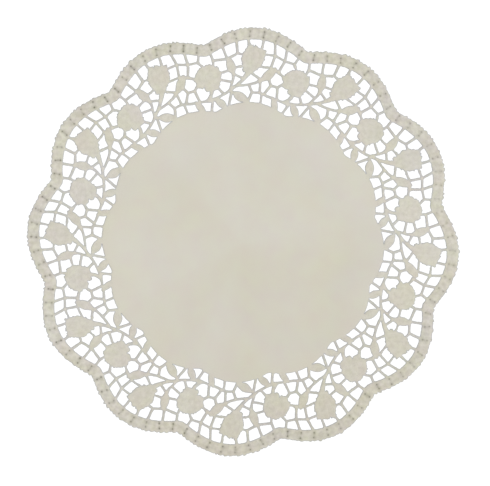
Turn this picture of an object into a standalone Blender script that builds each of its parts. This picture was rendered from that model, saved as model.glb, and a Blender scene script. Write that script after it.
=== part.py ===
"""Round lace doily: one flat sheet of paper with a plain middle, a die-cut border of roses
and leaves on a net of thin bars, and a scalloped rim. The sheet lies on z = 0 with its
middle on the Z axis and the crest of a scallop on +X.

The border is one repeat, turned round the middle. It is charted in degrees across the
repeat, clockwise, and millimetres from the middle. The motifs, stems and bars of the chart
are laid over each other, and the holes are what they leave uncovered.
"""

import math

import bmesh
import bpy
from mathutils import Matrix, Vector
from mathutils.geometry import delaunay_2d_cdt

MM = 0.001

# Driving dimensions
DIAMETER = 360 * MM  # from crest to crest
THICKNESS = 1 * MM
REPEATS = 12
PITCH = 360 / REPEATS  # degrees from one repeat to the next
CREST = 15.8  # degrees across the repeat at which its scallop is highest

# Scalloped edges, in mm: the radius in a valley, and the rise from it to a crest
RIM_RISE = 11.4
RIM_VALLEY = DIAMETER / 2 / MM - RIM_RISE
RIM_SLIMNESS = 1.15  # above 1 narrows the crests, below 1 fills them out
RIM_WIDTH = 10.5
MIDDLE_VALLEY = 112.0
MIDDLE_RISE = 5.6
MIDDLE_SLIMNESS = 0.9
EDGE_STEPS = 18  # points along each scallop

# Holes: the largest of each repeat are cut, and corners that matter little are left out
HOLES_PER_REPEAT = 25
LEAST_CORNER = 0.9  # mm2, the triangle that a corner makes with its neighbours
LEAST_HOLE = 2.0  # mm2
SIDE_BY_SIDE = (-1, 0, 1)  # the repeats laid out to find the holes of the middle one
PAST_THE_BORDER = 0.1  # how far the rim and the middle are filled, as a share of the radius
KNOT_SIDES = 8
MERGE = 1e-7

# Knots of the net and ends of its bars: degrees across the repeat, mm from the middle
KNOTS = {
    "rim 1": (2.55, 160.2),
    "rim 2": (6.55, 164.6),
    "rim 3": (10.5, 168.6),
    "rim 4": (13.75, 170.4),
    "rim 5": (18.2, 170.4),
    "rim 6": (21.45, 169.0),
    "rim 7": (25.15, 166.0),
    "rim 8": (28.95, 161.0),
    "net 1": (3.05, 154.2),
    "net 2": (10.75, 158.1),
    "net 3": (22.05, 158.4),
    "net 4": (25.3, 155.4),
    "net 5": (28.35, 155.1),
    "net 6": (24.4, 144.6),
    "net 7": (22.3, 133.3),
    "net 8": (24.8, 133.0),
    "net 9": (15.65, 125.8),
    "rose 1": (2.85, 149.0),
    "rose 2": (4.5, 143.0),
    "rose 3": (4.3, 137.5),
    "rose 4": (3.3, 130.8),
    "rose 5": (26.5, 135.9),
    "rose 6": (26.2, 142.0),
    "rose 7": (29.3, 150.0),
    "bud 1": (12.6, 157.0),
    "bud 2": (14.0, 165.0),
    "bud 3": (17.9, 161.5),
    "bud 4": (18.8, 158.2),
    "bud 5": (17.6, 147.4),
    "bud 6": (15.2, 141.9),
    "bud 7": (12.5, 147.5),
    "upright leaf 1": (7.6, 154.0),
    "upright leaf 2": (9.9, 146.3),
    "upright leaf 3": (7.7, 144.0),
    "leaning leaf 1": (21.4, 147.6),
    "leaning leaf 2": (24.1, 145.6),
    "leaning leaf 3": (22.7, 146.4),
    "leaning leaf 4": (21.3, 138.2),
    "leaning leaf 5": (18.2, 137.4),
    "stem 1": (9.55, 140.9),
    "stem 2": (11.9, 137.9),
    "stem 3": (8.5, 134.7),
    "stem 4": (18.4, 135.6),
    "stem 5": (14.6, 131.4),
    "vine 1": (5.05, 125.5),
    "vine 2": (7.75, 126.0),
    "vine 3": (18.65, 126.0),
    "vine 4": (20.35, 125.4),
    "vine 5": (25.5, 122.6),
    "vine 6": (30.1, 121.4),
    "vine 7": (19.45, 125.2),
    "middle 1": (6.6, 115.0),
    "middle 2": (14.3, 117.6),
    "middle 3": (19.45, 116.6),
    "middle 4": (29.2, 112.2),
}

# Bars of the net: the two ends, and the width in mm
BARS = (
    ("rim 1", "net 1", 1.8),
    ("net 1", "rose 1", 1.8),
    ("net 1", "upright leaf 1", 1.9),
    ("rim 2", "upright leaf 1", 1.8),
    ("rim 3", "net 2", 2.0),
    ("net 2", "upright leaf 1", 1.8),
    ("net 2", "bud 1", 1.6),
    ("rim 4", "bud 2", 1.9),
    ("rim 5", "bud 3", 1.7),
    ("rim 6", "net 3", 1.8),
    ("bud 4", "net 3", 1.5),
    ("net 3", "net 4", 1.6),
    ("net 3", "leaning leaf 1", 1.8),
    ("rim 7", "net 4", 1.9),
    ("net 4", "net 5", 1.6),
    ("net 4", "leaning leaf 2", 1.9),
    ("rim 8", "net 5", 1.7),
    ("net 5", "rose 7", 1.8),
    ("upright leaf 2", "bud 7", 1.6),
    ("bud 5", "leaning leaf 1", 1.6),
    ("leaning leaf 3", "net 6", 2.6),
    ("net 6", "rose 6", 1.9),
    ("rose 2", "upright leaf 3", 1.6),
    ("rose 3", "stem 3", 1.7),
    ("stem 1", "stem 2", 1.7),
    ("bud 6", "leaning leaf 5", 1.8),
    ("leaning leaf 4", "net 7", 1.9),
    ("net 7", "net 8", 1.8),
    ("net 8", "rose 5", 2.0),
    ("net 7", "vine 4", 1.9),
    ("net 8", "vine 5", 1.9),
    ("rose 4", "vine 1", 1.9),
    ("stem 4", "vine 3", 1.8),
    ("stem 5", "net 9", 1.9),
    ("net 9", "middle 2", 2.0),
    ("vine 7", "middle 3", 1.6),
    ("vine 2", "middle 1", 1.9),
    ("vine 6", "middle 4", 1.8),
)

# Stems, each a smooth line: degrees across the repeat, mm from the middle, width in mm
STEMS = {
    "vine": (
        (-14.35, 125.8, 1.8),
        (-11.3, 125.9, 2.0),
        (-8.0, 123.9, 2.2),
        (-4.0, 121.9, 2.2),
        (0.2, 121.4, 3.2),
        (3.0, 123.2, 2.2),
        (6.0, 125.8, 2.3),
        (8.0, 128.8, 3.2),
        (10.2, 131.9, 2.9),
        (12.3, 135.7, 3.2),
        (14.3, 142.5, 5.0),
    ),
    "rose": (
        (-2.0, 121.6, 2.0),
        (-0.5, 123.6, 3.0),
        (0.5, 126.8, 3.0),
        (1.0, 131.0, 3.6),
    ),
    "upright leaf": (
        (7.8, 129.0, 2.4),
        (8.3, 132.5, 2.0),
        (9.0, 137.0, 2.2),
        (9.3, 142.0, 2.6),
    ),
    "leaning leaf": (
        (8.6, 129.6, 2.2),
        (10.5, 130.9, 1.9),
        (12.5, 131.1, 1.9),
        (15.0, 132.2, 1.9),
        (17.0, 133.9, 2.2),
        (18.9, 137.0, 3.6),
    ),
    "low leaf": (
        (7.6, 128.4, 2.6),
        (8.0, 126.6, 2.4),
        (8.7, 125.0, 3.0),
    ),
}
STEM_STEPS = 2

# Leaves: the foot and the tip, each in degrees and mm, and the width and the bend in mm
LEAVES = {
    "upright": ((9.3, 140.0), (7.9, 156.0), 7.7, 0.0),
    "leaning": ((18.4, 135.4), (22.9, 149.2), 8.3, -0.6),
    "low": ((8.3, 126.0), (14.6, 118.2), 7.9, -0.4),
    "small left": ((1.6, 123.0), (6.0, 113.0), 6.1, 0.0),
    "small right": ((24.0, 124.5), (26.3, 111.5), 6.0, 0.0),
}
LEAF_STEPS = 4
LEAF_FULLNESS = 0.75  # below 1 rounds the sides out

# Flowers: the middle in degrees and mm, then each petal tip or dip as its bearing clockwise
# from straight out, in degrees, and its reach in mm
FLOWERS = {
    "rose": (
        (0.6, 140.5),
        (
            (5, 11.2),
            (38, 10.9),
            (53, 12.4),
            (80, 11.2),
            (104, 10.9),
            (128, 10.9),
            (147, 12.9),
            (172, 11.6),
            (200, 11.9),
            (214, 9.6),
            (236, 11.7),
            (255, 11.0),
            (273, 11.8),
            (296, 11.0),
            (322, 10.5),
            (340, 10.6),
        ),
    ),
    "bud": (
        (15.4, 153.0),
        (
            (-16, 14.0),
            (2, 11.9),
            (11, 12.2),
            (28, 11.2),
            (56, 13.2),
            (69, 11.0),
            (93, 9.6),
            (120, 8.7),
            (150, 9.3),
            (177, 11.2),
            (207, 12.6),
            (220, 12.8),
            (226, 10.8),
            (249, 9.5),
            (270, 9.9),
            (300, 9.6),
            (330, 11.2),
        ),
    ),
}

PAPER_COLOUR = (0.66, 0.63, 0.55, 1)
PAPER_ROUGHNESS = 0.9


def cleared_scene():
    """An empty scene with a collection for the doily."""
    for thing in list(bpy.data.objects):
        bpy.data.objects.remove(thing)
    doily = bpy.data.collections.new("doily")
    bpy.context.scene.collection.children.link(doily)
    return doily


def place(degrees, mm):
    """The point at this place on the chart, in mm, with the crest on +X."""
    bearing = math.radians(CREST - degrees)
    return Vector((mm * math.cos(bearing), mm * math.sin(bearing)))


def scallop(degrees, valley, rise, slimness):
    """The radius of a scalloped edge at this place across the repeat, in mm."""
    from_crest = (degrees - CREST + PITCH / 2) % PITCH - PITCH / 2
    quarter_turn = math.pi / 2 * from_crest / (PITCH / 2)
    return valley + rise * max(math.cos(quarter_turn), 0) ** slimness


def scalloped(valley, rise, slimness, repeats):
    """A scalloped edge over this many repeats, from valley to valley."""
    steps = EDGE_STEPS * repeats
    first = CREST - PITCH / 2 - PITCH * (repeats // 2)
    across = [first + PITCH * repeats * step / steps for step in range(steps + 1)]
    return [place(degrees, scallop(degrees, valley, rise, slimness)) for degrees in across]


def smooth(points, steps):
    """A curve through these points, with this many spans from each to the next."""
    ends = [points[0] * 2 - points[1], *points, points[-1] * 2 - points[-2]]
    curve = []
    for before, start, end, after in zip(ends, ends[1:], ends[2:], ends[3:]):
        for step in range(steps):
            t = step / steps
            curve.append(
                start * (1 - 3 * t * t + 2 * t**3)
                + end * (3 * t * t - 2 * t**3)
                + (end - before) / 2 * (t - 2 * t * t + t**3)
                + (after - start) / 2 * (t**3 - t * t)
            )
    return [*curve, points[-1]]


def ribbon(points, widths):
    """The outline of a stem or bar along these points."""
    left, right = [], []
    for i, (point, width) in enumerate(zip(points, widths)):
        along = points[min(i + 1, len(points) - 1)] - points[max(i - 1, 0)]
        side = Vector((-along.y, along.x)).normalized() * width / 2
        left.append(point + side)
        right.append(point - side)
    return [*left, *reversed(right)]


def stem(rows):
    """The outline of a stem, from its rows on the chart."""
    line = [Vector((*place(degrees, mm), width)) for degrees, mm, width in rows]
    line = smooth(line, STEM_STEPS)
    return ribbon([point.xy for point in line], [point.z for point in line])


def knot(at, width):
    """The small round of paper where bars meet."""
    turns = [math.tau * side / KNOT_SIDES for side in range(KNOT_SIDES)]
    return [at + Vector((math.cos(turn), math.sin(turn))) * width / 2 for turn in turns]


def leaf(foot, tip, width, bend):
    """The outline of a pointed leaf, whose midrib bows to one side."""
    foot, tip = place(*foot), place(*tip)
    along = tip - foot
    side = Vector((-along.y, along.x)).normalized()
    left, right = [], []
    for step in range(LEAF_STEPS + 1):
        t = step / LEAF_STEPS
        swell = math.sin(math.pi * t)
        rib = foot + along * t + side * bend * swell
        half = width / 2 * swell**LEAF_FULLNESS
        left.append(rib + side * half)
        right.append(rib - side * half)
    return [*left, *reversed(right[1:-1])]


def flower(middle, petals):
    """The outline of an open flower, from its petal tips and dips."""
    centre = place(*middle)
    out = centre.normalized()
    clockwise = Vector((out.y, -out.x))
    outline = []
    for bearing, reach in petals:
        turn = math.radians(bearing)
        outline.append(centre + (out * math.cos(turn) + clockwise * math.sin(turn)) * reach)
    return outline


def chart():
    """The outlines of everything that is paper in one repeat's border, in mm."""
    shapes = [stem(rows) for rows in STEMS.values()]
    shapes += [leaf(*row) for row in LEAVES.values()]
    shapes += [flower(*row) for row in FLOWERS.values()]
    for start, end, width in BARS:
        ends = [place(*KNOTS[start]), place(*KNOTS[end])]
        shapes.append(ribbon(ends, (width, width)))
        shapes += [knot(at, width) for at in ends]
    return shapes


def turned(outline, repeats):
    """The outline moved on by this many repeats, with its points counterclockwise."""
    turn = Matrix.Rotation(math.radians(PITCH * repeats), 2)
    outline = [turn @ point for point in outline]
    doubled_area = sum(a.cross(b) for a, b in zip(outline, outline[1:] + outline[:1]))
    return outline if doubled_area > 0 else outline[::-1]


def corner_area(loop, i):
    """The area of the triangle that a corner makes with its two neighbours."""
    before, here, after = loop[i - 1], loop[i], loop[(i + 1) % len(loop)]
    return abs((here - before).cross(after - here)) / 2


def simplified(loop):
    """The loop without the corners that hardly change its shape."""
    loop = list(loop)
    while True:
        areas = [corner_area(loop, i) for i in range(len(loop))]
        if min(areas) > LEAST_CORNER:
            return loop
        loop.pop(areas.index(min(areas)))


def holes():
    """The holes of one repeat, the largest first, each a loop of corners in mm."""
    rim = scalloped(RIM_VALLEY - RIM_WIDTH, RIM_RISE, RIM_SLIMNESS, len(SIDE_BY_SIDE))
    middle = scalloped(MIDDLE_VALLEY, MIDDLE_RISE, MIDDLE_SLIMNESS, len(SIDE_BY_SIDE))
    rim += [point * (1 + PAST_THE_BORDER) for point in reversed(rim)]
    middle += [point * (1 - PAST_THE_BORDER) for point in reversed(middle)]
    outlines = [turned(rim, 0), turned(middle, 0)]
    outlines += [turned(shape, repeat) for shape in chart() for repeat in SIDE_BY_SIDE]
    corners, faces = [], []
    for outline in outlines:
        faces.append(list(range(len(corners), len(corners) + len(outline))))
        corners += outline
    points, _, pieces, _, _, paper = delaunay_2d_cdt(corners, [], faces, 0, MERGE)
    bm = bmesh.new()
    verts = [bm.verts.new((*point, 0)) for point in points]
    for piece, covering in zip(pieces, paper):
        if not covering:
            bm.faces.new([verts[i] for i in piece])
    bmesh.ops.dissolve_faces(bm, faces=bm.faces[:])
    found = []
    for face in bm.faces:
        centre = face.calc_center_median_weighted()
        from_crest = math.degrees(math.atan2(centre.y, centre.x))
        inside = MIDDLE_VALLEY < centre.length < RIM_VALLEY + RIM_RISE - RIM_WIDTH
        if inside and -PITCH / 2 <= from_crest < PITCH / 2 and face.calc_area() > LEAST_HOLE:
            found.append((face.calc_area(), [vert.co.xy.copy() for vert in face.verts]))
    bm.free()
    found.sort(key=lambda hole: -hole[0])
    return [loop for _, loop in found]


def add_loop(curve, loop):
    """A closed line on the curve through these points, which are in mm."""
    spline = curve.splines.new("POLY")
    spline.points.add(len(loop) - 1)
    for spot, point in zip(spline.points, loop):
        spot.co = (point.x * MM, point.y * MM, 0, 1)
    spline.use_cyclic_u = True


def paper():
    """Plain uncoated paper, a warm pale grey."""
    material = bpy.data.materials.new("paper")
    material.use_nodes = True
    shader = material.node_tree.nodes["Principled BSDF"]
    shader.inputs["Base Color"].default_value = PAPER_COLOUR
    shader.inputs["Roughness"].default_value = PAPER_ROUGHNESS
    shader.inputs["Metallic"].default_value = 0
    return material


def sheet(collection):
    """The doily: its scalloped outline with the holes in it, as thick as the sheet."""
    curve = bpy.data.curves.new("doily", "CURVE")
    curve.dimensions = "2D"
    curve.fill_mode = "BOTH"
    curve.extrude = THICKNESS / 2
    add_loop(curve, scalloped(RIM_VALLEY, RIM_RISE, RIM_SLIMNESS, REPEATS)[:-1])
    for loop in holes()[:HOLES_PER_REPEAT]:
        for repeat in range(REPEATS):
            add_loop(curve, turned(simplified(loop), repeat))
    curve.materials.append(paper())
    doily = bpy.data.objects.new("doily", curve)
    doily.location.z = THICKNESS / 2
    collection.objects.link(doily)


sheet(cleared_scene())
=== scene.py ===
"""Looks of the round lace doily: one sheet of paper, pierced and pressed by a die.

One repeat of the border is charted in degrees across the repeat, clockwise, and millimetres
from the middle. The die's cuts are laid out from that chart twelve times, each a little
uneven, and the sheet between them is meshed, pressed into relief and given its thickness.
"""

import math
import random

import bmesh
import bpy
from mathutils import Matrix, Vector, noise
from mathutils.bvhtree import BVHTree
from mathutils.geometry import delaunay_2d_cdt
from mathutils.kdtree import KDTree


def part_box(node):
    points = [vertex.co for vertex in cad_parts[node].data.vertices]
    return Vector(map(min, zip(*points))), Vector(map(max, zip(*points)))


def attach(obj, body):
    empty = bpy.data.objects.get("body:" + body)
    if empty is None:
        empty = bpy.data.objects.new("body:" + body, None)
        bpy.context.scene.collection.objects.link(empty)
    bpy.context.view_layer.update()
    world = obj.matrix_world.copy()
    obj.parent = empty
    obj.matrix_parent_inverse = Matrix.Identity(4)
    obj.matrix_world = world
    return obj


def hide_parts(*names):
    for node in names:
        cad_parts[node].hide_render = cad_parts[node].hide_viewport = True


# ---- The round of paper ---------------------------------------------------------------
# A doily is cut from one round of thin uncoated paper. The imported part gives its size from
# crest to crest, and the die repeats one pattern twelve times around it.

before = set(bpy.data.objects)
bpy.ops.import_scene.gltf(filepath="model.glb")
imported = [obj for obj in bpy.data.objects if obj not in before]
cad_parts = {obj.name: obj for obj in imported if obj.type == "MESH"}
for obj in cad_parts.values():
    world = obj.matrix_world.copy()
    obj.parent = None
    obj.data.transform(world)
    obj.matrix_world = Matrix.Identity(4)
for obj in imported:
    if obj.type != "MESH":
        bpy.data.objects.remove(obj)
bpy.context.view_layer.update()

MM = 0.001
doily_low, doily_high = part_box("doily")
CREST_RADIUS = (doily_high.x - doily_low.x) / 2 / MM
REPEATS = 12
PITCH = 360 / REPEATS  # degrees from one repeat to the next
CREST = 15.8  # degrees across the repeat at which its scallop is highest


def place(degrees, mm):
    """The point at this place on the chart, in mm, with the crest on +X."""
    bearing = math.radians(CREST - degrees)
    return Vector((mm * math.cos(bearing), mm * math.sin(bearing)))


def turned(outline, repeats):
    """The outline moved on by this many repeats."""
    turn = Matrix.Rotation(math.radians(PITCH * repeats), 2)
    return [turn @ point for point in outline]


# ---- The rim --------------------------------------------------------------------------
# The outer edge is a plain band in twelve scallops. The die leaves small uneven teeth
# along it, and no two scallops reach out quite as far.

RIM_RISE = 12.3  # mm, from the valleys of the edge to its crests
RIM_VALLEY = CREST_RADIUS - RIM_RISE
RIM_SLIMNESS = 1.0  # above 1 narrows the crests, below 1 fills them out
RIM_LEAN = 0.35  # degrees that the rim is turned on from the pattern inside it
RIM_WIDTH = 10.3
INNER_SLIMNESS = 1.08
VALLEY_ROUNDING = 0.07  # a share of the rise
TEETH = 24  # along each scallop
UNEVEN = 0.25  # how far the start of a tooth strays, as a share of its length
LEAST_TOOTH = 0.2  # mm
MOST_TOOTH = 1.5
TOOTH_STEPS = 5
TOOTH_PEAKS = (0.25, 0.75)  # where along a tooth its peak may lie
TOOTH_SEED = 7


def scallop(degrees, valley, rise, slimness):
    """The radius of a scalloped edge at this place across the repeat, in mm."""
    from_crest = (degrees - CREST + PITCH / 2) % PITCH - PITCH / 2
    quarter_turn = math.pi / 2 * from_crest / (PITCH / 2)
    return valley + rise * math.hypot(math.cos(quarter_turn), VALLEY_ROUNDING) ** slimness


def toothed_edge():
    """The doily's outer edge, all the way round."""
    dice = random.Random(TOOTH_SEED)
    teeth = TEETH * REPEATS
    starts = [tooth + dice.uniform(-UNEVEN, UNEVEN) for tooth in range(teeth)]
    edge = []
    for start, end in zip(starts, [*starts[1:], starts[0] + teeth]):
        height = dice.uniform(LEAST_TOOTH, MOST_TOOTH)
        peak = dice.uniform(*TOOTH_PEAKS)
        for step in range(TOOTH_STEPS):
            along = step / TOOTH_STEPS
            climb = along / peak if along < peak else (1 - along) / (1 - peak)
            degrees = (start + (end - start) * along) / TEETH * PITCH
            radius = scallop(degrees - RIM_LEAN, RIM_VALLEY, RIM_RISE, RIM_SLIMNESS)
            radius += height * math.sin(math.pi / 2 * climb) - MOST_TOOTH / 2
            edge.append(place(degrees, radius))
    return edge


# ---- The middle -----------------------------------------------------------------------
# The middle of the sheet is left whole, a plain round for the cake to stand on, with a
# shallow scalloped outline where the pierced border begins.

MIDDLE_VALLEY = 110.9  # mm
MIDDLE_RISE = 6.7
MIDDLE_SLIMNESS = 0.85
EDGE_STEPS = 60  # points along each scallop
SIDE_BY_SIDE = (-1, 0, 1)  # the repeats laid out to find the holes of the middle one
PAST_THE_BORDER = 0.1  # how far rim and middle are filled there, as a share of the radius


def band(valley, rise, slimness, lean, far_side):
    """A band over three repeats, from a scalloped edge to that edge scaled."""
    steps = EDGE_STEPS * len(SIDE_BY_SIDE)
    first = CREST - PITCH * len(SIDE_BY_SIDE) / 2
    across = [first + PITCH * step / EDGE_STEPS for step in range(steps + 1)]
    radii = [scallop(degrees - lean, valley, rise, slimness) for degrees in across]
    near = [place(degrees, radius) for degrees, radius in zip(across, radii)]
    return near + [point * far_side for point in reversed(near)]


# ---- The net --------------------------------------------------------------------------
# Thin bars of paper hold the flowers and leaves to the rim, to each other and to the
# middle. They are what is left between two cuts, and they meet in small rounded knots.

# Knots of the net and ends of its bars: degrees across the repeat, mm from the middle
KNOTS = {
    "rim 1": (2.55, 160.2),
    "rim 2": (6.4, 164.6),
    "rim 3": (10.55, 168.6),
    "rim 4": (13.85, 170.4),
    "rim 5": (18.2, 170.4),
    "rim 6": (21.45, 169.0),
    "rim 7": (25.15, 166.0),
    "rim 8": (29.15, 161.0),
    "net 1": (3.05, 153.85),
    "net 2": (10.75, 157.9),
    "net 3": (22.05, 158.1),
    "net 4": (25.3, 155.1),
    "net 5": (28.35, 154.6),
    "net 6": (24.4, 144.3),
    "net 7": (22.3, 132.9),
    "net 8": (24.8, 132.6),
    "net 9": (15.7, 125.5),
    "rose 1": (2.85, 149.0),
    "rose 2": (4.5, 142.7),
    "rose 3": (4.3, 137.2),
    "rose 4": (3.2, 130.8),
    "rose 5": (26.5, 135.9),
    "rose 6": (26.2, 141.7),
    "rose 7": (29.5, 150.0),
    "bud 1": (12.6, 157.0),
    "bud 2": (14.1, 165.0),
    "bud 3": (17.9, 161.5),
    "bud 4": (18.8, 157.9),
    "bud 5": (17.6, 147.4),
    "bud 6": (15.2, 141.7),
    "bud 7": (12.5, 147.5),
    "upright leaf 1": (7.45, 153.7),
    "upright leaf 2": (9.9, 146.3),
    "upright leaf 3": (7.7, 144.0),
    "leaning leaf 1": (21.4, 147.6),
    "leaning leaf 2": (24.1, 145.6),
    "leaning leaf 3": (22.7, 146.4),
    "leaning leaf 4": (21.3, 138.2),
    "leaning leaf 5": (18.2, 137.2),
    "stem 1": (9.5, 140.6),
    "stem 2": (11.85, 137.6),
    "stem 3": (8.5, 134.3),
    "stem 4": (18.4, 135.6),
    "stem 5": (14.6, 131.4),
    "vine 1": (4.95, 125.5),
    "vine 2": (8.05, 126.0),
    "vine 3": (18.65, 125.7),
    "vine 4": (20.35, 125.1),
    "vine 5": (25.5, 122.6),
    "vine 6": (30.5, 121.4),
    "vine 7": (19.45, 124.9),
    "middle 1": (6.55, 115.0),
    "middle 2": (14.2, 117.6),
    "middle 3": (19.45, 116.6),
    "middle 4": (28.95, 111.5),
}

# Bars of the net: the two ends, and the width in mm
BARS = (
    ("rim 1", "net 1", 1.8),
    ("net 1", "rose 1", 1.8),
    ("net 1", "upright leaf 1", 1.9),
    ("rim 2", "upright leaf 1", 1.8),
    ("rim 3", "net 2", 2.0),
    ("net 2", "upright leaf 1", 1.8),
    ("net 2", "bud 1", 1.6),
    ("rim 4", "bud 2", 1.9),
    ("rim 5", "bud 3", 1.7),
    ("rim 6", "net 3", 1.8),
    ("bud 4", "net 3", 1.5),
    ("net 3", "net 4", 1.6),
    ("net 3", "leaning leaf 1", 1.8),
    ("rim 7", "net 4", 1.9),
    ("net 4", "net 5", 1.6),
    ("net 4", "leaning leaf 2", 1.9),
    ("rim 8", "net 5", 1.7),
    ("net 5", "rose 7", 1.8),
    ("upright leaf 2", "bud 7", 1.6),
    ("bud 5", "leaning leaf 1", 1.6),
    ("leaning leaf 3", "net 6", 2.6),
    ("net 6", "rose 6", 1.9),
    ("rose 2", "upright leaf 3", 1.6),
    ("rose 3", "stem 3", 1.7),
    ("stem 1", "stem 2", 1.7),
    ("bud 6", "leaning leaf 5", 1.8),
    ("leaning leaf 4", "net 7", 1.9),
    ("net 7", "net 8", 1.8),
    ("net 8", "rose 5", 2.0),
    ("net 7", "vine 4", 1.9),
    ("net 8", "vine 5", 1.9),
    ("rose 4", "vine 1", 1.9),
    ("stem 4", "vine 3", 1.8),
    ("stem 5", "net 9", 1.9),
    ("net 9", "middle 2", 2.0),
    ("vine 7", "middle 3", 1.6),
    ("vine 2", "middle 1", 1.9),
    ("vine 6", "middle 4", 1.8),
)
BAR_SPREAD = 0.3  # mm, by which every bar is wider than charted
KNOT_SIDES = 16


def ribbon(points, widths):
    """The outline of a bar or stem along these points."""
    left, right = [], []
    for i, (point, width) in enumerate(zip(points, widths)):
        along = points[min(i + 1, len(points) - 1)] - points[max(i - 1, 0)]
        side = Vector((-along.y, along.x)).normalized() * width / 2
        left.append(point + side)
        right.append(point - side)
    return [*left, *reversed(right)]


def knot(at, width):
    """The small round of paper where bars meet."""
    turns = [math.tau * side / KNOT_SIDES for side in range(KNOT_SIDES)]
    return [at + Vector((math.cos(turn), math.sin(turn))) * width / 2 for turn in turns]


def net():
    """The outlines of the bars and knots of one repeat."""
    outlines = []
    for start, end, charted in BARS:
        width = charted + BAR_SPREAD
        ends = [place(*KNOTS[start]), place(*KNOTS[end])]
        outlines.append(ribbon(ends, (width, width)))
        outlines += [knot(at, width) for at in ends]
    return outlines


# ---- The stems ------------------------------------------------------------------------
# A vine runs round the border just outside the middle. From it stems branch to the rose,
# to the bud and to the leaves, wider than the bars and smoothly curved.

# Each stem is a smooth line: degrees across the repeat, mm from the middle, width in mm
STEMS = {
    "vine": (
        (-14.25, 125.5, 1.8),
        (-11.3, 125.6, 2.0),
        (-8.0, 123.5, 2.2),
        (-4.0, 122.1, 1.8),
        (0.2, 121.5, 3.2),
        (3.0, 123.1, 2.2),
        (6.05, 125.6, 2.1),
        (8.1, 128.6, 2.8),
        (10.3, 131.7, 2.6),
        (12.2, 135.7, 3.0),
        (14.3, 142.5, 5.0),
    ),
    "rose": (
        (-2.0, 121.6, 2.0),
        (-0.5, 123.6, 3.0),
        (0.5, 126.8, 3.0),
        (1.0, 131.0, 3.6),
    ),
    "upright leaf": (
        (7.8, 129.0, 2.4),
        (8.3, 132.5, 2.0),
        (9.0, 137.0, 2.2),
        (9.1, 141.9, 3.2),
    ),
    "leaning leaf": (
        (8.6, 129.6, 2.2),
        (10.5, 130.9, 1.9),
        (12.5, 131.3, 2.1),
        (15.0, 132.4, 2.1),
        (17.0, 134.0, 2.2),
        (18.9, 137.0, 3.6),
    ),
    "low leaf": (
        (7.6, 128.4, 2.6),
        (8.0, 126.6, 2.4),
        (8.7, 125.0, 3.0),
    ),
}
STEM_STEPS = 6


def smooth(points, steps):
    """A curve through these points, with this many spans from each to the next."""
    ends = [points[0] * 2 - points[1], *points, points[-1] * 2 - points[-2]]
    curve = []
    for before, start, end, after in zip(ends, ends[1:], ends[2:], ends[3:]):
        for step in range(steps):
            t = step / steps
            curve.append(
                start * (1 - 3 * t * t + 2 * t**3)
                + end * (3 * t * t - 2 * t**3)
                + (end - before) / 2 * (t - 2 * t * t + t**3)
                + (after - start) / 2 * (t**3 - t * t)
            )
    return [*curve, points[-1]]


def stem(rows):
    """The outline of a stem, from its rows on the chart."""
    line = [Vector((*place(degrees, mm), width)) for degrees, mm, width in rows]
    line = smooth(line, STEM_STEPS)
    return ribbon([point.xy for point in line], [point.z for point in line])


# ---- The leaves -----------------------------------------------------------------------
# Five plain pointed leaves to each repeat. The die presses a midrib along each, with
# fine veins slanting off it to both sides.

# The foot and the tip, each in degrees and mm, and the width and the bend in mm
LEAVES = {
    "upright": ((9.3, 139.9), (7.7, 155.8), 7.5, 0.0),
    "leaning": ((18.4, 135.4), (23.15, 148.7), 7.7, -0.5),
    "low": ((8.4, 126.2), (14.65, 118.3), 7.8, -0.4),
    "small left": ((1.35, 122.8), (5.85, 112.8), 6.6, 0.0),
    "small right": ((23.75, 124.5), (26.45, 111.5), 5.7, 0.0),
}
LEAF_STEPS = 12
LEAF_FULLNESS = 0.75  # below 1 rounds the sides out
VEINS = (0.28, 0.45, 0.62)  # where they leave the midrib, as a share of the leaf
VEIN_LEAN = 0.16  # how much further up they end
VEIN_REACH = 0.62  # how far out they end, as a share of the leaf's half width
MIDRIB = (0.15, 0.3, 0.5, 0.7, 0.85)  # its points, as shares of the leaf


def in_leaf(foot, tip, width, bend, along, across):
    """The point in a leaf this far from foot to tip, and this far from midrib to side."""
    foot, tip = place(*foot), place(*tip)
    axis = tip - foot
    side = Vector((-axis.y, axis.x)).normalized()
    swell = max(math.sin(math.pi * along), 0)
    half = width / 2 * swell**LEAF_FULLNESS
    return foot + axis * along + side * (bend * swell + half * across)


def leaf(row):
    """The outline of a pointed leaf."""
    up = [step / LEAF_STEPS for step in range(LEAF_STEPS + 1)]
    left = [in_leaf(*row, along, 1) for along in up]
    right = [in_leaf(*row, along, -1) for along in up[1:-1]]
    return [*left, *reversed(right)]


def veins(row):
    """The lines pressed into a leaf: its midrib, and pairs of veins."""
    lines = [[in_leaf(*row, along, 0) for along in MIDRIB]]
    for along in VEINS:
        for side in (-1, 1):
            lines.append(
                [
                    in_leaf(*row, along, 0),
                    in_leaf(*row, along + VEIN_LEAN, side * VEIN_REACH),
                ]
            )
    return lines


# ---- The flowers ----------------------------------------------------------------------
# Each repeat holds an open rose and a bud, the widest plain areas of the border. Their
# edges are cut in small ragged teeth, and the folds of their petals are pressed in.

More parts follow.
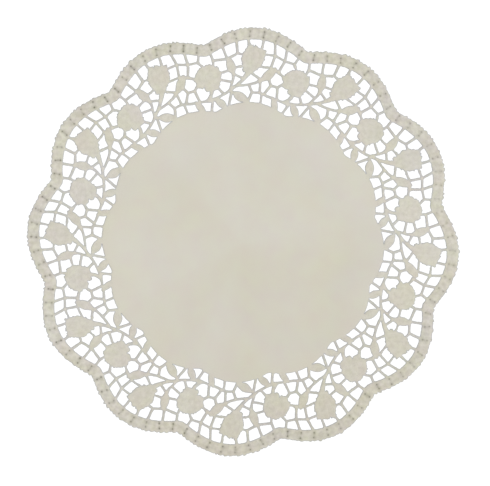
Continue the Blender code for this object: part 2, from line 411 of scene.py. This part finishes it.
# The middle in degrees and mm, then each petal tip or dip as its bearing clockwise from
# straight out, in degrees, and its reach in mm
FLOWERS = {
    "rose": (
        (0.6, 140.5),
        (
            (5, 10.8),
            (22, 11.3),
            (38, 10.7),
            (53, 11.8),
            (84, 11.6),
            (104, 10.7),
            (128, 10.8),
            (147, 12.9),
            (160, 12.5),
            (172, 11.6),
            (200, 12.2),
            (211, 8.9),
            (228, 11.3),
            (240, 11.9),
            (255, 11.3),
            (273, 12.1),
            (296, 11.3),
            (322, 10.8),
            (340, 10.4),
        ),
    ),
    "bud": (
        (15.4, 153.0),
        (
            (-15, 14.0),
            (2, 11.2),
            (11, 11.9),
            (28, 11.2),
            (55, 13.8),
            (69, 10.7),
            (93, 9.4),
            (117, 9.0),
            (150, 9.0),
            (164, 9.5),
            (177, 11.2),
            (207, 12.6),
            (220, 12.8),
            (226, 10.8),
            (249, 9.6),
            (270, 10.1),
            (300, 9.6),
            (330, 11.2),
        ),
    ),
}
PETAL_TOOTH_PITCH = 2.6  # mm
PETAL_TOOTH = 0.9  # mm, the tallest
PETAL_NOTCH = 0.3  # mm, how far the teeth start inside the petals' outline
PETAL_PEAKS = (0.15, 0.85)  # where along a tooth its peak may lie
PETAL_SEED = 5

# Folds pressed into the flowers, as bearings and reaches like the petals'
HEART_POINTS = 12  # along the curl at the rose's heart
HEART_TURN = 36  # degrees from one of them to the next
HEART_START = 1.1  # mm from the rose's middle
HEART_GROWTH = 0.28
ROSE_HEART = [(i * HEART_TURN, HEART_START + i * HEART_GROWTH) for i in range(HEART_POINTS)]
ROSE_PETALS = 5
ROSE_PETAL = ((0, 4.6), (24, 7.2), (52, 8.3), (80, 7.4), (100, 5.2))
BUD_FOLDS = (
    ((206, 9.5), (255, 5.6), (310, 6.4), (345, 10.5)),
    ((185, 6.5), (235, 1.8), (340, 3.4), (2, 8.8)),
    ((166, 7.6), (105, 4.6), (50, 6.6), (22, 9.2)),
)
FOLD_STEPS = 4


def in_flower(middle, bearing, reach):
    """The point of a flower at this bearing and reach from its middle."""
    centre = place(*middle)
    out = centre.normalized()
    clockwise = Vector((out.y, -out.x))
    turn = math.radians(bearing)
    return centre + (out * math.cos(turn) + clockwise * math.sin(turn)) * reach


def flower(middle, petals):
    """The outline of a flower, with ragged teeth between its petal tips and dips."""
    dice = random.Random(PETAL_SEED)
    corners = [in_flower(middle, *petal) for petal in petals]
    outline = []
    for start, end in zip(corners, corners[1:] + corners[:1]):
        teeth = max(1, round((end - start).length / PETAL_TOOTH_PITCH))
        for tooth in range(teeth):
            notch = start.lerp(end, tooth / teeth)
            peak = start.lerp(end, (tooth + dice.uniform(*PETAL_PEAKS)) / teeth)
            out = (peak - place(*middle)).normalized()
            outline += [notch - out * PETAL_NOTCH, peak + out * dice.uniform(0, PETAL_TOOTH)]
    return outline


def flower_folds():
    """The lines pressed into one repeat's flowers."""
    rose, bud = FLOWERS["rose"][0], FLOWERS["bud"][0]
    lines = [[in_flower(rose, *spot) for spot in ROSE_HEART]]
    for petal in range(ROSE_PETALS):
        turn = 360 / ROSE_PETALS * petal
        lines.append([in_flower(rose, turn + bearing, reach) for bearing, reach in ROSE_PETAL])
    lines += [[in_flower(bud, *spot) for spot in fold] for fold in BUD_FOLDS]
    return [smooth(line, FOLD_STEPS) for line in lines]


# ---- The cuts -------------------------------------------------------------------------
# The die punches out whatever no rim, middle, flower, leaf, stem or bar covers: 32 holes
# in each repeat. Its cuts have rounded corners, and wander a little from the pattern.

MERGE = 1e-7  # mm between points that are taken for one
LEAST_HOLE = 2.0  # mm2
CUT_STEP = 0.5  # mm
LEAST_POINTS = 6  # round the smallest hole
ROUNDINGS = 3  # times that each cut is softened
SOFTNESS = 0.5  # how far a point moves to the middle of its neighbours each time
SOFTNESS_AT_FLOWERS = 0.05
FLOWER_REACH = 14.0  # mm, past the tips of the petals
NICK = 0.25  # mm, the fine unevenness of an edge
NICK_AT_FLOWERS = 0.55
NICK_SPAN = 1.9
NICK_SEED = 9  # left alone, it comes from the clock and no two runs agree
noise.seed_set(NICK_SEED)
SHARP_TURN = math.radians(11)
LONGEST_CUT = 1.5  # mm between the points of a straight cut

# The pattern strays most at three places round the sheet: their bearing in degrees
# counterclockwise from the first crest, and how far, in mm outward and mm counterclockwise
STRAYS = (
    (30, 1.0, -1.3),
    (160, 0.2, 1.2),
    (280, -1.9, -0.5),
)
STRAY_SPAN = 40  # degrees to either side over which a stray fades
HALF_TURN = 180


def chart():
    """The outlines of everything that is paper in one repeat's border, in mm."""
    outlines = net()
    outlines += [stem(rows) for rows in STEMS.values()]
    outlines += [leaf(row) for row in LEAVES.values()]
    outlines += [flower(*row) for row in FLOWERS.values()]
    return outlines


def counterclockwise(outline):
    """The outline with its points in counterclockwise order."""
    doubled_area = sum(a.cross(b) for a, b in zip(outline, outline[1:] + outline[:1]))
    return outline if doubled_area > 0 else outline[::-1]


def holes():
    """The holes of one repeat, each a counterclockwise loop of corners in mm."""
    inner = RIM_VALLEY - RIM_WIDTH
    rim = band(inner, RIM_RISE, INNER_SLIMNESS, RIM_LEAN, 1 + PAST_THE_BORDER)
    middle = band(MIDDLE_VALLEY, MIDDLE_RISE, MIDDLE_SLIMNESS, 0, 1 - PAST_THE_BORDER)
    outlines = [rim, middle]
    outlines += [turned(shape, repeat) for shape in chart() for repeat in SIDE_BY_SIDE]
    corners, faces = [], []
    for outline in outlines:
        faces.append(list(range(len(corners), len(corners) + len(outline))))
        corners += counterclockwise(outline)
    points, _, pieces, _, _, covers = delaunay_2d_cdt(corners, [], faces, 0, MERGE)
    bm = bmesh.new()
    verts = [bm.verts.new((*point, 0)) for point in points]
    for piece, covering in zip(pieces, covers):
        if not covering:
            bm.faces.new([verts[i] for i in piece])
    bmesh.ops.dissolve_faces(bm, faces=bm.faces[:])
    found = []
    for face in bm.faces:
        centre = face.calc_center_median_weighted()
        from_crest = math.degrees(math.atan2(centre.y, centre.x))
        inside = MIDDLE_VALLEY < centre.length < RIM_VALLEY + RIM_RISE - RIM_WIDTH
        if inside and -PITCH / 2 <= from_crest < PITCH / 2 and face.calc_area() > LEAST_HOLE:
            found.append(counterclockwise([vert.co.xy.copy() for vert in face.verts]))
    bm.free()
    return found


def evenly(loop, step):
    """The closed loop with its points about this far apart."""
    length = sum((b - a).length for a, b in zip(loop, loop[1:] + loop[:1]))
    step = length / max(LEAST_POINTS, round(length / step))
    points, ahead = [], 0.0
    for start, end in zip(loop, loop[1:] + loop[:1]):
        span = (end - start).length
        while ahead < span:
            points.append(start.lerp(end, ahead / span))
            ahead += step
        ahead -= span
    return points


def by_flower(point):
    """Whether this point is within reach of a flower."""
    middles = [place(*middle) for middle, _ in FLOWERS.values()]
    repeat = round(math.degrees(math.atan2(point.y, point.x)) / PITCH)
    near = [middle for side in SIDE_BY_SIDE for middle in turned(middles, repeat + side)]
    return min((point - middle).length for middle in near) < FLOWER_REACH


def softened(loop):
    """The loop with its corners rounded, but for the teeth along the flowers."""
    softness = [SOFTNESS_AT_FLOWERS if by_flower(point) else SOFTNESS for point in loop]
    for _ in range(ROUNDINGS):
        sides = zip(loop[-1:] + loop, loop, loop[1:] + loop[:1], softness)
        loop = [here.lerp((before + after) / 2, soft) for before, here, after, soft in sides]
    return loop


def nearness(point, bearing, span):
    """How near this point is to a bearing: 1 on it, and fading out past the span."""
    apart = math.degrees(math.atan2(point.y, point.x)) - bearing
    apart = (apart + HALF_TURN) % (2 * HALF_TURN) - HALF_TURN
    return math.exp(-((apart / span) ** 2))


def strayed(point):
    """Where the die really cuts this point of the pattern."""
    outward = sum(away * nearness(point, at, STRAY_SPAN) for at, away, _ in STRAYS)
    round_it = sum(turned_on * nearness(point, at, STRAY_SPAN) for at, _, turned_on in STRAYS)
    out = point.normalized()
    sideways = Vector((-out.y, out.x)) * round_it
    nick = noise.noise_vector(Vector((*point, 0)) / NICK_SPAN).xy
    nick *= NICK_AT_FLOWERS if by_flower(point) else NICK
    return point * (1 + outward / CREST_RADIUS) + sideways + nick


def thinned(loop):
    """The loop without points along its straight stretches."""
    kept = [loop[0]]
    for here, after in zip(loop[1:], loop[2:] + loop[:1]):
        back, on = here - kept[-1], after - here
        if back.length > LONGEST_CUT or abs(back.angle_signed(on, 0)) > SHARP_TURN:
            kept.append(here)
    return kept


def cuts():
    """Every cut of the die: the outer edge first, then the holes."""
    loops = [[strayed(point) for point in toothed_edge()]]
    for loop in holes():
        loop = softened(evenly(loop, CUT_STEP))
        for repeat in range(REPEATS):
            loops.append(thinned([strayed(point) for point in turned(loop, repeat)]))
    return [counterclockwise(loop) for loop in loops]


# ---- The marks of the rim -------------------------------------------------------------
# Eight pairs of small dots are pressed across the rim in each scallop, each pair joined by
# a fine line, with painted shade in them. Toward the side the sun shines from they are pressed
# less deep and given less painted shade, standing in for how the light falls on them there,
# and no two are quite alike.

# The outer dot and the inner dot, each in degrees across the repeat and mm
MARKS = (
    ((2.9, 167.0), (3.15, 162.7)),
    ((6.4, 170.5), (7.05, 166.7)),
    ((10.1, 174.0), (10.5, 170.3)),
    ((14.3, 176.3), (14.2, 172.0)),
    ((18.2, 176.4), (17.9, 172.0)),
    ((22.1, 174.5), (21.6, 170.3)),
    ((25.7, 171.3), (25.05, 167.0)),
    ((29.2, 166.8), (28.85, 163.0)),
)
DOT_RADIUS = 0.85  # mm
DOT_DEPTH = 0.3
MARK_LINE_WIDTH = 0.5
MARK_LINE_DEPTH = 0.18
MARK_LINE_SHADE = 0.5  # how dark the lines are, where the dots are 1
DOT_STRAY = 0.25  # mm
MARK_SPREAD = 0.22  # how much harder or lighter single marks are pressed
MARK_SEED = 3
# Toward the sun's side the marks are pressed less deep and painted with less shade, as the light
# falls on them there
SUN_SIDE = 10  # degrees counterclockwise from the first crest
SUN_SIDE_SPAN = 50
FAINTER_TOWARD_SUN = 0.45  # how much less the marks are pressed there
FIRMEST = 1.05


def marks():
    """The marks of the whole rim: a pair of points each, and how hard each is pressed and how much
    painted shade it gets.
    """
    dice = random.Random(MARK_SEED)
    pairs, presses_and_shades = [], []
    for repeat in range(REPEATS):
        for outer, inner in MARKS:
            ends = turned([place(*outer), place(*inner)], repeat)
            # Fainter toward the sun's side, in depth and in painted shade
            press_and_shade = FIRMEST - FAINTER_TOWARD_SUN * nearness(ends[0], SUN_SIDE, SUN_SIDE_SPAN)
            presses_and_shades.append(press_and_shade * (1 + dice.uniform(-1, 1) * MARK_SPREAD))
            astray = [Vector((dice.uniform(-1, 1), dice.uniform(-1, 1))) * DOT_STRAY for _ in ends]
            pairs.append([strayed(end + aside) for end, aside in zip(ends, astray)])
    return pairs, presses_and_shades


# ---- The sheet ------------------------------------------------------------------------
# The paper is a tenth of a millimetre thick. The cut edges lie on the table and the paper
# between them stands up in a low rounded relief, creased along the folds and veins.

PAPER = 0.12  # mm thick
LIFT = 0.34  # mm that the relief stands above the cut edges
SHOULDER = 0.95  # mm from a cut edge to the full height
CREASE_DEPTH = 0.2
CREASE_WIDTH = 0.55
COCKLE = 0.16  # mm, the slow waves of a sheet that has lain about
COCKLE_SPAN = 55.0
FARTHEST = 3.0  # mm from an edge or line, past which the distance makes no difference
RING = 0.5  # mm from the cut edges to the first row of points inside the paper
RING_CLEAR = 0.4
CREASE_STEP = 1.3
BORDER_GRID = 1.8  # mm between the other points in the border
MIDDLE_GRID = 4.0
GRID_CLEAR = 1.0  # mm that those keep from the cut edges
PLAIN_RADIUS = 108.0  # mm, inside which the sheet needs few points
DOT_ROUNDS = ((0.6, 6), (1.2, 8))  # points round a dot: at what share of its radius, how many
BORDER_PRESS = 0.6  # how hard the border is pressed, where the rim is 1
PRESS_FADE = 1.5  # mm


def pressing(point):
    """How hard the paper is pressed here: not in the middle, and most on the rim."""
    degrees = CREST - math.degrees(math.atan2(point.y, point.x))
    middle = scallop(degrees, MIDDLE_VALLEY, MIDDLE_RISE, MIDDLE_SLIMNESS)
    rim = scallop(degrees - RIM_LEAN, RIM_VALLEY - RIM_WIDTH, RIM_RISE, INNER_SLIMNESS)
    in_border, in_rim = (
        min(max((point.length - edge) / PRESS_FADE + 1, 0), 1) for edge in (middle, rim)
    )
    return BORDER_PRESS * in_border + (1 - BORDER_PRESS) * in_rim


def fence(lines):
    """Upright strips along these lines, from which the distance to them is measured."""
    corners, strips = [], []
    for line in lines:
        for start, end in zip(line, line[1:]):
            first = len(corners)
            corners += [(*start, -1), (*end, -1), (*end, 1), (*start, 1)]
            strips.append(range(first, first + 4))
    return BVHTree.FromPolygons(corners, strips)


def distance(strips, point):
    """How far this point is from the nearest of the lines, in mm."""
    found = strips.find_nearest((*point, 0), FARTHEST)[3]
    return FARTHEST if found is None else found


def rings(loops, to_cut):
    """Points just inside the paper, along every cut."""
    spots = []
    for i, loop in enumerate(loops):
        inward = -1 if i == 0 else 1
        for before, here, after in zip(loop[-1:] + loop, loop, loop[1:] + loop[:1]):
            along = (after - before).normalized()
            spot = here + Vector((along.y, -along.x)) * RING * inward
            if distance(to_cut, spot) > RING_CLEAR:
                spots.append(spot)
    return spots


def creases():
    """The folds and veins of the whole border."""
    lines = flower_folds()
    for row in LEAVES.values():
        lines += veins(row)
    whole = []
    for repeat in range(REPEATS):
        whole += [[strayed(point) for point in turned(line, repeat)] for line in lines]
    return whole


def along_lines(lines, step, offsets):
    """Points along these lines and beside them."""
    spots = []
    for line in lines:
        for start, end in zip(line, line[1:]):
            steps = max(1, round((end - start).length / step))
            along = (end - start).normalized()
            side = Vector((-along.y, along.x))
            for i in range(steps):
                spots += [start.lerp(end, i / steps) + side * offset for offset in offsets]
    return spots


def grid(spacing, least, most):
    """Points in a triangular grid between these radii."""
    spots = []
    rows = math.ceil(most / (spacing * math.sin(math.pi / 3)))
    for row in range(-rows, rows + 1):
        y = row * spacing * math.sin(math.pi / 3)
        half = math.ceil(most / spacing)
        for column in range(-half, half + 1):
            spot = Vector(((column + row % 2 / 2) * spacing, y))
            if least <= spot.length < most:
                spots.append(spot)
    return spots


def dot_points(at):
    """Points that give a pressed dot its round shape."""
    spots = [at]
    for share, sides in DOT_ROUNDS:
        spots += [
            at + Vector((math.cos(turn), math.sin(turn))) * DOT_RADIUS * share
            for turn in (math.tau * side / sides for side in range(sides))
        ]
    return spots


def flat_sheet(loops, spots):
    """The pierced sheet as a flat mesh in mm: the outer edge's inside without the holes."""
    corners, faces = [], []
    for loop in loops:
        faces.append(list(range(len(corners), len(corners) + len(loop))))
        corners += loop
    found = delaunay_2d_cdt(corners + spots, [], faces, 1, MERGE)
    points, pieces, covers = found[0], found[2], found[5]
    bm = bmesh.new()
    verts = [bm.verts.new((*point, 0)) for point in points]
    for piece, covering in zip(pieces, covers):
        if covering == [0]:
            bm.faces.new([verts[i] for i in piece])
    bmesh.ops.delete(bm, geom=[vert for vert in bm.verts if not vert.link_faces], context="VERTS")
    return bm


def pierced_sheet():
    """The finished sheet: meshed between the cuts, pressed, and as thick as paper."""
    loops = cuts()
    creased = creases()
    marked, presses_and_shades = marks()
    to_cut = fence([[*loop, loop[0]] for loop in loops])
    to_crease = fence(creased)
    to_mark = fence(marked)
    dots = [dot for pair in marked for dot in pair]
    to_dot = KDTree(len(dots))
    for i, dot in enumerate(dots):
        to_dot.insert((*dot, 0), i)
    to_dot.balance()

    spots = [spot for dot in dots for spot in dot_points(dot)]
    beside = (-CREASE_WIDTH, 0, CREASE_WIDTH)
    spots += [
        spot
        for spot in along_lines(creased, CREASE_STEP, beside)
        if distance(to_cut, spot) > GRID_CLEAR
    ]
    spots += [
        spot
        for spot in grid(BORDER_GRID, PLAIN_RADIUS, CREST_RADIUS)
        + grid(MIDDLE_GRID, 0, PLAIN_RADIUS)
        if distance(to_cut, spot) > GRID_CLEAR
        and distance(to_crease, spot) > 2 * CREASE_WIDTH
        and to_dot.find((*spot, 0))[2] > 2 * DOT_RADIUS
    ]
    bm = flat_sheet(loops, rings(loops, to_cut) + spots)
    from_edge = bm.verts.layers.float.new("from_edge")
    mark_shade = bm.verts.layers.float.new("mark_shade")
    pressed = bm.verts.layers.float.new("pressed")
    for vert in bm.verts:
        at = vert.co.xy
        vert[from_edge] = distance(to_cut, at)
        _, dot, dot_away = to_dot.find(vert.co)
        by_dot = math.exp(-((dot_away / DOT_RADIUS) ** 2))
        by_line = math.exp(-((distance(to_mark, at) / MARK_LINE_WIDTH) ** 2))
        by_crease = math.exp(-((distance(to_crease, at) / CREASE_WIDTH) ** 2))
        press_and_shade = presses_and_shades[dot // 2]
        # The painted shade of the marks, strongest in the dots
        vert[mark_shade] = press_and_shade * max(by_dot, by_line * MARK_LINE_SHADE)
        vert[pressed] = pressing(at)
        rise = math.sin(math.pi / 2 * min(vert[from_edge] / SHOULDER, 1))
        cockle = noise.noise(vert.co / COCKLE_SPAN)
        pushed_in = press_and_shade * max(DOT_DEPTH * by_dot, MARK_LINE_DEPTH * by_line)
        relief = LIFT * rise - CREASE_DEPTH * by_crease - pushed_in
        vert.co.z = PAPER + max(relief, 0) + COCKLE * (1 + cockle) / 2
    bmesh.ops.solidify(bm, geom=bm.faces[:], thickness=PAPER)
    bmesh.ops.scale(bm, vec=(MM, MM, MM), verts=bm.verts)
    mesh = bpy.data.meshes.new("pierced_sheet")
    bm.to_mesh(mesh)
    bm.free()
    mesh.shade_smooth()
    sheet = bpy.data.objects.new("pierced_sheet", mesh)
    bpy.context.scene.collection.objects.link(sheet)
    return sheet


# ---- The paper's finish ---------------------------------------------------------------
# Uncoated paper in a warm pale grey, faintly mottled, with a fine tooth. Painted shade greys
# it along the cut edges, where the die's pressure also leaves the paper a little denser, and
# in the marks, and patches of painted relief shade grey it a little over the whole border.

PAPER_COLOUR = (0.682, 0.664, 0.589, 1)

# What each of these turns a colour into, where it is fullest
ROSY = (1.0, 0.962, 1.0, 1)
YELLOWISH = (1.0, 1.0, 0.915, 1)
GREYER = (0.95, 0.95, 0.95, 1)
# Painted shade with some yellowing of the paper, in a soft patch toward one spot of the rim
SHADE_AND_YELLOWING = (0.935, 0.925, 0.9, 1)
PRESSED = (1.055, 1.05, 1.085, 1)
# Painted shade of the border's relief
RELIEF_SHADE = (0.84, 0.835, 0.83, 1)
OLIVE = (0.98, 1.0, 0.92, 1)
# Painted shade along the cut edges, partly the denser paper that the die pressed there
SHADED_PRESSED_EDGE = (0.69, 0.74, 0.88, 1)
# Painted shade in the pressed dots and lines of the rim
MARK_SHADE_TINT = (0.4, 0.4, 0.37, 1)
SHADE_AND_YELLOWING_SPOT = (0.03, -0.178, 0)  # metres, on the rim
SHADE_AND_YELLOWING_REACH = 0.22  # metres
EDGE_FADE = (0.75, 0.05)  # mm from a cut edge at which its grey starts and is fullest

# Patches: how many to a metre, how fine, and the values at which they start and are fullest
ROSY_PATCHES = (60, 3, 0.35, 0.7)
YELLOWISH_PATCHES = (20, 7, 0.3, 0.7)
GREYER_PATCHES = (16, 8, 0.3, 0.7)
# Patches of painted relief shade
RELIEF_SHADE_PATCHES = (260, 4, 0.35, 0.65)
OLIVE_PATCHES = (210, 4, 0.4, 0.7)
ROUGHER_PATCHES = (900, 4, 0.3, 0.7)
FIBRES = (1600, 5, 0.25, 0.75)
GLOSS = 0.2
SMOOTHEST = 0.82
ROUGHEST = 0.95
FIBRE_STRENGTH = 0.35
FIBRE_HEIGHT = 0.06 * MM


def paper_material():
    """The paper, with its mottle, and painted shade along the cut edges, in the marks and over the
    border.
    """
    material = bpy.data.materials.new("paper")
    material.use_nodes = True
    nodes, links = material.node_tree.nodes, material.node_tree.links
    shader = nodes["Principled BSDF"]
    shader.inputs["Metallic"].default_value = 0
    shader.inputs["Specular IOR Level"].default_value = GLOSS
    place_on_sheet = nodes.new("ShaderNodeTexCoord").outputs["Object"]

    def cloud(scale, detail, low, high):
        """A soft pattern of patches, from 0 to 1, with this many to a metre."""
        pattern = nodes.new("ShaderNodeTexNoise")
        pattern.inputs["Scale"].default_value = scale
        pattern.inputs["Detail"].default_value = detail
        links.new(place_on_sheet, pattern.inputs["Vector"])
        return spread(pattern.outputs["Fac"], low, high)

    def spread(value, low, high):
        """The value rescaled to 0 at the low end and 1 at the high end."""
        scaled = nodes.new("ShaderNodeMapRange")
        scaled.inputs["From Min"].default_value = low
        scaled.inputs["From Max"].default_value = high
        links.new(value, scaled.inputs["Value"])
        return scaled.outputs["Result"]

    def tinted(share, colour, tint):
        """The colour multiplied by the tint, more as the share goes from 0 to 1."""
        mix = nodes.new("ShaderNodeMix")
        mix.data_type = "RGBA"
        mix.blend_type = "MULTIPLY"
        links.new(share, mix.inputs["Factor"])
        links.new(colour, mix.inputs["A"])
        mix.inputs["B"].default_value = tint
        return mix.outputs["Result"]

    def product(first, second):
        """One value times another."""
        times = nodes.new("ShaderNodeMath")
        times.operation = "MULTIPLY"
        links.new(first, times.inputs[0])
        links.new(second, times.inputs[1])
        return times.outputs["Value"]

    def marked(name):
        """An attribute of the sheet."""
        attribute = nodes.new("ShaderNodeAttribute")
        attribute.attribute_name = name
        return attribute.outputs["Fac"]

    plain = nodes.new("ShaderNodeRGB").outputs["Color"]
    plain.default_value = PAPER_COLOUR
    from_spot = nodes.new("ShaderNodeVectorMath")
    from_spot.operation = "DISTANCE"
    from_spot.inputs[1].default_value = SHADE_AND_YELLOWING_SPOT
    links.new(place_on_sheet, from_spot.inputs[0])
    colour = tinted(cloud(*ROSY_PATCHES), plain, ROSY)
    colour = tinted(cloud(*YELLOWISH_PATCHES), colour, YELLOWISH)
    colour = tinted(cloud(*GREYER_PATCHES), colour, GREYER)
    # Painted shade with some yellowing, fading away from a spot on the rim
    colour = tinted(spread(from_spot.outputs["Value"], SHADE_AND_YELLOWING_REACH, 0), colour, SHADE_AND_YELLOWING)
    colour = tinted(marked("pressed"), colour, PRESSED)
    # Patches of painted relief shade over the border, most on the rim
    colour = tinted(product(marked("pressed"), cloud(*RELIEF_SHADE_PATCHES)), colour, RELIEF_SHADE)
    colour = tinted(product(marked("pressed"), cloud(*OLIVE_PATCHES)), colour, OLIVE)
    # Painted shade along the cut edges, partly the denser pressed paper there
    colour = tinted(spread(marked("from_edge"), *EDGE_FADE), colour, SHADED_PRESSED_EDGE)
    # Painted shade in the pressed marks
    colour = tinted(marked("mark_shade"), colour, MARK_SHADE_TINT)
    links.new(colour, shader.inputs["Base Color"])

    roughness = nodes.new("ShaderNodeMapRange")
    roughness.inputs["To Min"].default_value = SMOOTHEST
    roughness.inputs["To Max"].default_value = ROUGHEST
    links.new(cloud(*ROUGHER_PATCHES), roughness.inputs["Value"])
    links.new(roughness.outputs["Result"], shader.inputs["Roughness"])

    tooth = nodes.new("ShaderNodeBump")
    tooth.inputs["Strength"].default_value = FIBRE_STRENGTH
    tooth.inputs["Distance"].default_value = FIBRE_HEIGHT
    links.new(cloud(*FIBRES), tooth.inputs["Height"])
    links.new(tooth.outputs["Normal"], shader.inputs["Normal"])
    return material


sheet = pierced_sheet()
sheet.data.materials.append(paper_material())
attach(sheet, "root")
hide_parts("doily")

# ---- The studio -----------------------------------------------------------------------
# A plain white floor, even soft light from all round with a little more from the right, and
# a camera straight above.

FLOOR_SIZE = 24.0
IMAGE_WIDTH = 490  # pixels
IMAGE_SCALE = 1.2  # pixels to a millimetre
VIEW_TURN = math.radians(3.5)  # how far the camera is turned counterclockwise
LOOKS_AT = Vector((2.18, -0.08)) / IMAGE_SCALE * MM  # the middle of the view, as it is turned
LENS = 85.0  # mm
SENSOR = 36.0
WHITE = (1, 1, 1, 1)
FLOOR_COLOUR = (0.9, 0.9, 0.9, 1)
FLOOR_ROUGHNESS = 0.9
FLOOR_GLOW = 0.2

bm = bmesh.new()
bmesh.ops.create_grid(bm, x_segments=1, y_segments=1, size=FLOOR_SIZE / 2)
floor_mesh = bpy.data.meshes.new("floor")
bm.to_mesh(floor_mesh)
bm.free()
floor = bpy.data.objects.new("floor", floor_mesh)
bpy.context.scene.collection.objects.link(floor)
floor_paint = bpy.data.materials.new("floor_white")
floor_paint.use_nodes = True
floor_shader = floor_paint.node_tree.nodes["Principled BSDF"]
floor_shader.inputs["Base Color"].default_value = FLOOR_COLOUR
floor_shader.inputs["Roughness"].default_value = FLOOR_ROUGHNESS
floor_shader.inputs["Specular IOR Level"].default_value = 0.0
floor_shader.inputs["Emission Color"].default_value = WHITE
floor_shader.inputs["Emission Strength"].default_value = FLOOR_GLOW
floor_mesh.materials.append(floor_paint)

SKY_STRENGTH = 0.8
SUN_SHARE = 0.2  # of the light that falls on a level surface
SUN_HEIGHT = math.radians(50)
SUN_SOFTNESS = math.radians(25)
SUN_BEARING = math.radians(-20)  # from the right of the view, counterclockwise

world = bpy.data.worlds.new("studio")
bpy.context.scene.world = world
world.use_nodes = True
sky = world.node_tree.nodes["Background"]
sky.inputs["Color"].default_value = WHITE
sky.inputs["Strength"].default_value = SKY_STRENGTH

sun_data = bpy.data.lights.new("window", "SUN")
sun_data.energy = math.pi * SUN_SHARE / math.sin(SUN_HEIGHT)
sun_data.angle = SUN_SOFTNESS
sun = bpy.data.objects.new("window", sun_data)
bearing = SUN_BEARING + VIEW_TURN
towards = Vector(
    (
        math.cos(bearing) * math.cos(SUN_HEIGHT),
        math.sin(bearing) * math.cos(SUN_HEIGHT),
        math.sin(SUN_HEIGHT),
    )
)
sun.rotation_euler = towards.to_track_quat("Z", "Y").to_euler()
bpy.context.scene.collection.objects.link(sun)

camera_data = bpy.data.cameras.new("camera")
camera_data.lens = LENS
camera_data.sensor_width = SENSOR
camera = bpy.data.objects.new("camera", camera_data)
width_seen = IMAGE_WIDTH / IMAGE_SCALE * MM
aim = Matrix.Rotation(VIEW_TURN, 2) @ LOOKS_AT
camera.location = (aim.x, aim.y, width_seen * LENS / SENSOR)
camera.rotation_euler = (0, 0, VIEW_TURN)
bpy.context.scene.collection.objects.link(camera)
bpy.context.scene.camera = camera
bpy.context.scene.view_settings.view_transform = "Standard"
